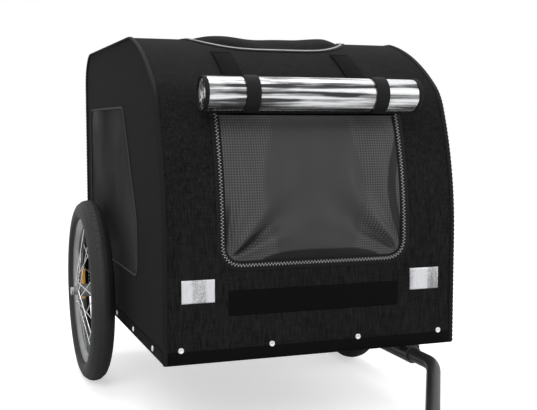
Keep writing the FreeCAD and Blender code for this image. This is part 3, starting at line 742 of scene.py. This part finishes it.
def patch(x0: float, x1: float, z0: float, z1: float, pleat: float) -> tuple[Array, Array]:
    """A thin sewn-on patch on the straight front wall: a plateau plus upright pleats."""
    rows, columns = 61, 25
    u, v = np.meshgrid(np.linspace(0, 1, rows), np.linspace(0, 1, columns), indexing="ij")
    rim = (np.minimum(np.minimum(u, 1 - u) * (rows - 1), 1)
           * np.minimum(np.minimum(v, 1 - v) * (columns - 1), 1))
    folds = np.sin(u * 21 + 1.5 * np.sin(v * 5)) * 0.5 + np.sin(u * 47 + 1.0) * 0.25
    height = rim * (0.0009 + pleat * (0.6 + folds * np.sin(np.pi * v)))
    points = np.stack([x0 + (x1 - x0) * u, PROFILE.front - 0.0002 - height, z0 + (z1 - z0) * v], -1)
    return points.reshape(-1, 3), grid_faces(rows, columns)[:, ::-1]


# ---- doors


@dataclass
class MeshDoor:
    """A mesh door: a bulging, pinched sheet of mesh, its zip tape and its teeth."""

    name: str
    body: Body
    replaces: str
    front: bool
    half: float = 0.170
    low: float = 0.330
    high: float = 0.586
    corner: float = 0.035
    columns: int = 171
    rows: int = 131
    bulge: float = 0.0085
    fold: float = 0.0105
    fold_reach: float = 0.15
    sink: float = 0.0012
    cloth: float = 0.0008
    wall_top: float = 0.7
    tape: Pair = (0.017, 0.0011)
    tooth_pitch: float = 0.0029
    tooth: Triple = (0.0014, 0.0007, 0.0016)
    tooth_stagger: float = 0.0013
    tooth_foot: float = 0.0006

    def run(self, z: Array | float) -> Any:
        """Running length on the cover for a height on this end."""
        line, lengths = PROFILE.lengths()
        if self.front:
            top = int(np.argmax(line[:, 1] > self.wall_top))
            return np.interp(z, line[:top, 1], lengths[:top])
        keep = line[:, 0] > PROFILE.rear - 0.0005
        order = np.argsort(line[keep, 1])
        return np.interp(z, line[keep, 1][order], lengths[keep][order])

    def folds(self, x: Array, z: Array) -> Array:
        """Folds along rays from both lower corners; they die away with distance."""
        total = np.zeros_like(x)
        for sign in (-1, 1):
            dx, dz = (x - sign * self.half), (z - self.low)
            reach = np.hypot(dx, dz) + 1e-6
            angle = np.arctan2(dz, np.abs(dx))
            fade = np.exp(-((reach / self.fold_reach) ** 2)) * np.clip(reach / 0.03, 0, 1)
            total += fade * (np.sin(angle * 8 + 0.6 * sign) + np.sin(angle * 15 + 1.1) * 0.6)
        return total

    def height(self, u: Array, v: Array, x: Array, folds: Array) -> Array:
        """Height off the cover = bulge + edge * (folds + slack - waist), all 0 at the edges."""
        edge = (np.clip((1 - np.abs(u)) * 7, 0, 1) * np.clip(v * 6, 0, 1)
                * np.clip((1 - v) * 8, 0, 1))
        bulge = self.bulge * np.sin(edge * np.pi / 2)
        slack = (0.0012 * np.sin(u * 5 + 1.3) * np.sin(v * 7)
                 + 0.0008 * np.sin(u * 17 + v * 3))
        waist = 0.0045 * np.exp(-(((np.abs(x) - 0.088) / 0.012) ** 2)) * np.sin(v * 3.0)
        return bulge + edge * (self.fold * folds + slack - waist)

    def light_share(self, x: Array, z: Array, folds: Array) -> Array:
        """How lit the mesh looks: 0 in the dark crescents at the foot, the sides and the folds."""
        foot = self.low + 0.017 * np.clip(1 - (np.abs(x - 0.01) / 0.115) ** 4, 0, 1)
        lift = np.sin(np.clip((z - self.low - 0.02) / 0.20, 0, 1) * np.pi)
        side = self.half - 0.026 * lift
        share = np.minimum((z - foot) / 0.010, (side - x) / 0.010)
        share = np.maximum(share, (x - side - 0.013) / 0.006)
        pinched = 1.15 + 0.95 * np.minimum(folds + 0.15, 0)
        return np.clip(np.minimum(share, pinched), 0, 1)

    def sheet(self) -> None:
        """The mesh: a grid bulged between its edges, with folds out of both lower corners."""
        u, v = np.meshgrid(np.linspace(-1, 1, self.columns), np.linspace(0, 1, self.rows),
                           indexing="ij")
        z = self.low + v * (self.high - self.low)
        inset = np.clip(1 - v * (self.high - self.low) / self.corner, 0, 1)
        widest = self.half - self.corner * (1 - np.sqrt(1 - inset ** 2))
        x = np.sign(u) * np.minimum(np.abs(u * self.half), widest)
        folds = self.folds(x, z)
        points, _ = on_cover(x, self.run(z), self.height(u, v, x, folds) - self.sink)
        faces = grid_faces(self.columns, self.rows)
        made = add_piece(self.name, points.reshape(-1, 3),
                         faces[:, ::-1] if self.front else faces, DOOR_MESH, "mesh", self.body,
                         closed=False)
        knots = np.clip((np.abs(x) - 0.078 + 0.012 * np.sin(z * 24)) / 0.012, 0.12, 1)
        mark_points(made, "open_band", knots)
        # painted shade: how lit each point looks, 0 at the foot, the sides and the folds, stored for the
        # mesh material
        mark_points(made, "painted_light_share", self.light_share(x, z, folds))
        thickened(made, self.cloth)
        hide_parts(self.replaces)

    def zip_line(self, grow: float) -> tuple[Array, Array]:
        """Places and normals of the zip's U, which runs outside the door's edge by grow."""
        half, low, corner = self.half + grow, self.low - grow, self.corner + grow
        down = np.array([[-half, self.high], [-half, low + corner]])
        turn = np.linspace(0, 1, 14)[:, None]
        left = np.array([[-half, low]])
        foot = np.array([[corner - half, low]])
        bend = (1 - turn) ** 2 * down[1:] + 2 * turn * (1 - turn) * left + turn ** 2 * foot
        line = np.concatenate([down, bend[1:]])
        mirrored = line[::-1] * np.array([-1, 1])
        line = resampled(np.concatenate([line, mirrored]), self.tooth_pitch)
        return on_cover(line[:, 0], self.run(line[:, 1]), 0.0002)

    def zip(self) -> None:
        """Black tape and bright teeth: the teeth are short blocks set evenly along the U."""
        path, normal = self.zip_line(0.005)
        points, faces = swept(path, flat_strip(*self.tape), normal)
        add_piece(f"{self.name}_zip_tape", points, faces, BINDING, "webbing")
        path, normal = self.zip_line(0.0035)
        along = unit_rows(np.gradient(path, axis=0))
        side = np.cross(along, normal)
        square = ((-1, -1), (1, -1), (1, 1), (-1, 1))
        corners = np.array([[a, b, c] for c in (0.0, 1.0) for a, b in square])
        even = np.arange(len(path)) % 2 == 0
        shift = np.where(even, self.tooth_stagger, -self.tooth_stagger)[:, None, None]
        wide, long, tall = self.tooth
        blocks = (path[:, None] + corners[None, :, :1] * wide * side[:, None]
                  + shift * side[:, None] + corners[None, :, 1:2] * long * along[:, None]
                  + (self.tooth_foot + corners[None, :, 2:] * tall) * normal[:, None])
        add_piece(f"{self.name}_zip_teeth", blocks.reshape(-1, 3), block_faces(len(path)),
                  ZIP, "bright_steel", smooth=False)

    def build(self) -> None:
        """Makes the door and its zip."""
        self.sheet()
        self.zip()


@dataclass
class RoofHatch:
    """The roof hatch: a fabric flap that swells over the roof, with a zip round three edges."""

    half: float = 0.163
    front: float = 0.104
    rear: float = 0.470
    corner: float = 0.118
    columns: int = 91
    rows: int = 121
    swell: float = 0.009
    dip: float = 0.005
    sink: float = 0.001
    cloth: float = 0.0012
    zip_gap: float = 0.005
    tape: Pair = (0.016, 0.0012)
    chain: Pair = (0.004, 0.0026)

    def outline_half(self, s: Array) -> Array:
        """Half the flap's width at a share s of its length: full, rounding off to the front."""
        near = np.clip(1 - s * (self.rear - self.front) / self.corner, 0, 1)
        return self.half - self.corner * (1 - np.sqrt(1 - near ** 2))

    def cloth_piece(self) -> float:
        """The flap: it swells to both sides of a dip, and is 0 at its edges. Returns its length."""
        u, s = np.meshgrid(np.linspace(-1, 1, self.columns), np.linspace(0, 1, self.rows),
                           indexing="ij")
        front, rear = PROFILE.run_on_roof(self.front), PROFILE.run_on_roof(self.rear)
        run = front + s * (rear - front)
        x = u * self.outline_half(s)
        edge = eased((1 - np.abs(u)) * 4) * eased(s * 9)
        edge = edge * eased((1 - s) * 9)
        swell = (self.swell - self.dip * np.exp(-((u / 0.35) ** 2))
                 + 0.0012 * np.sin(x * 60 + s * 4))
        points, _ = on_cover(x, run, edge * swell - self.sink)
        faces = grid_faces(self.columns, self.rows)[:, ::-1]
        made = add_piece("roof_hatch_cloth", points.reshape(-1, 3), faces, COVER,
                         "cover_fabric", Body.HATCH, closed=False)
        thickened(made, self.cloth)
        length = float(run[0, -1] - run[0, 0])
        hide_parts("roof_hatch")
        return length

    def zip(self, length: float) -> None:
        """Tape and a plain chain round the flap's front and most of both sides."""
        line_s = np.concatenate([np.linspace(0.85, 0.0, 90), np.zeros(1)])
        width = self.outline_half(line_s) + self.zip_gap
        first = PROFILE.run_on_roof(self.front) - self.zip_gap
        side = np.column_stack([-width, first + line_s * length])
        line = resampled(np.concatenate([side, side[::-1] * np.array([-1, 1])]), 0.003)
        path, normal = on_cover(line[:, 0], line[:, 1], 0.0003)
        points, faces = swept(path, flat_strip(*self.tape), normal)
        add_piece("roof_hatch_zip_tape", points, faces, BINDING, "webbing")
        points, faces = swept(path, oval(*self.chain, lift=0.0014), normal)
        add_piece("roof_hatch_zip_chain", points, faces, ZIP, "bright_steel")

    def build(self) -> None:
        """Makes the flap and its zip."""
        self.zip(self.cloth_piece())


# ---- rolled covers


@dataclass
class RolledCover:
    """A cover rolled up on itself: a spiral of film or cloth with bound ends."""

    name: str
    replaces: str
    finish: Finish
    slot: str
    turns: float = 5.0
    around: int = 96
    along: int = 160
    binding: Pair = (0.008, 0.0032)

    def skin(self, middle: Array, size: Array, x: Array, turn: Array) -> Array:
        """The roll's oval, wavering along x, with the outer layer's edge as a low ridge."""
        rng = np.random.default_rng(7)
        grid_x, grid_t = np.meshgrid(x, turn, indexing="ij")
        waver = sum(a * np.sin(f * grid_t + p + grid_x * q) for a, f, p, q in zip(
            (0.012, 0.010, 0.006), (3, 5, 9), rng.uniform(0, 6, 3), (4.0, -9.0, 14.0)))
        lap = 0.03 * np.exp(-(((grid_t - 4.0 - 0.15 * np.sin(grid_x * 7)) / 0.05) ** 2))
        radius = 0.965 + waver + lap * 0.6
        return np.stack([grid_x, middle[1] + size[1] * radius * np.cos(grid_t),
                         middle[2] + size[2] * radius * np.sin(grid_t)], -1)

    def end_rings(self, ring: Array, middle: Array, at: float, inward: int) -> list[Array]:
        """An end from rim to middle: the skin's last ring drawn in, stepping in and out in layers."""
        axis = middle * [0, 1, 1]
        step = 0.0016
        plan = [(0.93, at + inward * 0.0), (0.80, at + inward * 0.0015)]
        for count, share in enumerate(np.linspace(0.72, 0.0, int(self.turns) * 4)):
            depth = step if count % 2 else -step
            plan.append((share, at + inward * 0.002 + inward * depth))
        return [axis + (ring - axis) * [0, k, k] + [x, 0, 0] for k, x in plan]

    def build(self) -> None:
        """Makes the roll from its skin and both ends, and binds the ends."""
        low, high = (np.array(c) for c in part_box(self.replaces))
        middle, size = (low + high) / 2, (high - low) / 2
        x = np.linspace(low[0] + 0.001, high[0] - 0.001, self.along)
        turn = np.linspace(0, 2 * np.pi, self.around + 1)[:-1]
        skin = self.skin(middle, size, x, turn)
        head = self.end_rings(skin[0], middle, x[0], 1)
        tail = self.end_rings(skin[-1], middle, x[-1], -1)
        rings = np.concatenate([head[::-1], skin, tail])
        made = add_piece(self.name, rings.reshape(-1, 3),
                         grid_faces(len(rings), len(turn), True), self.finish, self.slot)
        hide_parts(self.replaces)
        round_turn = np.append(turn, 0)
        for end, at in (("left", x[-1]), ("right", x[0])):
            path = np.column_stack([np.full(len(round_turn), at),
                                    middle[1] + size[1] * 0.97 * np.cos(round_turn),
                                    middle[2] + size[2] * 0.97 * np.sin(round_turn)])
            out = unit_rows(path - [at, middle[1], middle[2]])
            loop, faces = swept(path, oval(*self.binding), out, close_ends=False)
            add_piece(f"{self.name}_{end}_binding", loop, faces, BINDING, "webbing")


# ---- mat and tyres


@dataclass
class FloorMat:
    """The quilted mat on the floor: a crowned pad with sewn cross channels."""

    squareness: float = 0.22
    channel_pitch: float = 0.09
    channel_width: float = 0.07
    channel_depth: float = 0.006
    clearance: float = 0.001

    def build(self) -> None:
        """Height = a crown that falls to the rim, less narrow channels across its length."""
        low, high = (np.array(c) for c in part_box("floor_mat"))
        middle, half = (low + high) / 2, (high - low) / 2
        turn = np.linspace(0, 2 * np.pi, 200, endpoint=False)
        cos, sin = np.cos(turn), np.sin(turn)
        shape_x = np.sign(cos) * np.abs(cos) ** self.squareness
        shape_y = np.sign(sin) * np.abs(sin) ** self.squareness
        levels = [(0.0, 0.0), (0.5, 0.0), (0.93, 0.0), (0.985, 0.18), (1.0, 0.45),
                  (0.985, 0.72), (0.94, 0.9)]
        levels += [(share, 1.0) for share in np.linspace(0.88, 0.0, 45)]
        rings = []
        for share, level in levels:
            x, y = middle[0] + half[0] * share * shape_x, middle[1] + half[1] * share * shape_y
            off_channel = ((y - middle[1]) / self.channel_pitch + 0.5) % 1 - 0.5
            channel = np.exp(-(off_channel / self.channel_width) ** 2)
            sewn = self.channel_depth * channel if level >= 1 else 0.0
            z = low[2] + (high[2] - low[2] - self.clearance) * level - sewn
            rings.append(np.stack([x, y, np.broadcast_to(z, x.shape)], -1))
        made = add_piece("quilted_mat", np.array(rings).reshape(-1, 3),
                         grid_faces(len(rings), len(turn), True), MAT, "mat_fabric")
        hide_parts("floor_mat")


@dataclass
class WheelTrim:
    """Tread blocks for one wheel."""

    side: str
    body: Body
    blocks: int = 84
    ring_radius: float = 0.1755
    section_radius: float = 0.0245
    block_height: float = 0.0008
    rows: tuple[Pair, ...] = ((-38.0, 13.0), (-13.0, 9.0), (13.0, 9.0), (38.0, 13.0))

    def build(self) -> None:
        """Tread: rows of low blocks whose corners sit on the tyre's round section."""
        low, high = (np.array(c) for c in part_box(f"{self.side}_tyre"))
        centre = (low + high) / 2
        spread = math.pi / self.blocks * 0.66
        parts = []
        for row, (bend, width) in enumerate(self.rows):
            turn = (np.arange(self.blocks) + 0.5 * (row % 2)) * 2 * np.pi / self.blocks
            bends = np.radians(np.array([bend - width, bend + width]))
            corner = []
            for lift in (-self.block_height, 0.0):
                reach = self.section_radius + lift - 0.00005
                for i, j in ((0, -1), (1, -1), (1, 1), (0, 1)):
                    out = self.ring_radius + reach * math.cos(bends[i])
                    at = turn + j * spread
                    x = np.full_like(at, centre[0] + reach * math.sin(bends[i]))
                    corner.append(np.stack([x, centre[1] + out * np.cos(at),
                                            centre[2] + out * np.sin(at)], -1))
            blocks = np.stack(corner, 1)
            blocks[:, 4:] += (blocks[:, 4:] - blocks[:, :4]) * 0.9
            parts.append((blocks.reshape(-1, 3), block_faces(self.blocks)))
        add_piece(f"{self.side}_tread", *stacked(parts), TYRE, "tyre", self.body, smooth=False)


# ---- studio


@dataclass
class Studio:
    """A pale floor, soft lamps and the camera."""

    camera_at: Triple = (-0.634, -1.615, 0.568)
    yaw: float = 0.3425
    pitch: float = 0.0851
    lens: float = 62.9

    def floor(self) -> None:
        """A wide white floor that shows white to the camera and keeps the trailer's shadow."""
        mesh = bpy.data.meshes.new("studio_floor")
        size = 12.0
        corners = [(-size, -size, 0), (size, -size, 0), (size, size, 0), (-size, size, 0)]
        mesh.from_pydata(corners, [], [(0, 1, 2, 3)])
        nodes = Nodes("studio_floor")
        ray = nodes.add("ShaderNodeLightPath").outputs["Is Camera Ray"]
        nodes.set(Base_Color=(0.86, 0.86, 0.86, 1.0), Roughness=0.95, Specular_IOR_Level=0.0,
                  Emission_Color=(1.0, 1.0, 1.0, 1.0),
                  Emission_Strength=nodes.times(ray, 0.55))
        mesh.materials.append(nodes.material)
        made = bpy.data.objects.new("studio_floor", mesh)
        bpy.context.collection.objects.link(made)

    def world(self) -> None:
        """An even pale surround, white to the camera."""
        world = bpy.data.worlds.new("studio")
        bpy.context.scene.world = world
        world.use_nodes = True
        tree = world.node_tree
        background = tree.nodes["Background"]
        path = tree.nodes.new("ShaderNodeLightPath")
        either = tree.nodes.new("ShaderNodeMath")
        either.operation = "MAXIMUM"
        tree.links.new(path.outputs["Is Camera Ray"], either.inputs[0])
        tree.links.new(path.outputs["Is Glossy Ray"], either.inputs[1])
        strength = tree.nodes.new("ShaderNodeMapRange")
        strength.inputs["To Min"].default_value = 0.55
        strength.inputs["To Max"].default_value = 1.0
        tree.links.new(either.outputs[0], strength.inputs["Value"])
        tree.links.new(strength.outputs[0], background.inputs["Strength"])
        background.inputs["Color"].default_value = (1.0, 1.0, 1.0, 1.0)

    def lamp(self, name: str, place: Sequence[float], size: float, power: float) -> None:
        """One square soft lamp aimed at the cabin's middle."""
        light = bpy.data.lights.new(name, "AREA")
        light.size, light.energy = size, power
        made = bpy.data.objects.new(name, light)
        made.location = place
        aim = Vector((0.0, 0.2, 0.4)) - Vector(place)
        made.rotation_euler = aim.to_track_quat("-Z", "Y").to_euler()
        bpy.context.collection.objects.link(made)

    def camera(self) -> None:
        """The camera: turned by yaw towards +X and tipped down by pitch."""
        made = bpy.data.objects.new("camera", bpy.data.cameras.new("camera"))
        made.data.lens, made.data.sensor_width = self.lens, 36.0
        made.data.clip_end = 60.0
        made.location = self.camera_at
        made.rotation_euler = (math.pi / 2 - self.pitch, 0.0, -self.yaw)
        bpy.context.collection.objects.link(made)
        bpy.context.scene.camera = made

    def build(self) -> None:
        """Sets the whole stage."""
        self.floor()
        self.world()
        self.lamp("key_lamp", (-1.6, -2.6, 2.6), 1.8, 55.0)
        self.lamp("fill_lamp", (2.4, -1.6, 1.6), 2.0, 26.0)
        self.lamp("top_lamp", (0.0, 0.6, 3.2), 2.2, 40.0)
        self.camera()
        bpy.context.scene.view_settings.view_transform = "Standard"


def main() -> None:
    """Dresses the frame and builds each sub-assembly in order."""
    logging.basicConfig(level=logging.INFO, format="%(name)s %(message)s")
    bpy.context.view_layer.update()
    dress_nodes()
    CoverTrim().build()
    MeshDoor("front_mesh_door", Body.FRONT_DOOR, "front_door", True).build()
    MeshDoor("rear_mesh_door", Body.REAR_DOOR, "rear_door", False).build()
    RoofHatch().build()
    RolledCover("rain_cover_roll", "front_rain_cover_roll", ROLL, "clear_roll").build()
    RolledCover("rear_door_cover_roll", "rear_cover_roll", SIDE, "side_fabric").build()
    FloorMat().build()
    WheelTrim("left", Body.LEFT_WHEEL).build()
    WheelTrim("right", Body.RIGHT_WHEEL).build()
    Studio().build()


if __name__ == "__main__":
    main()
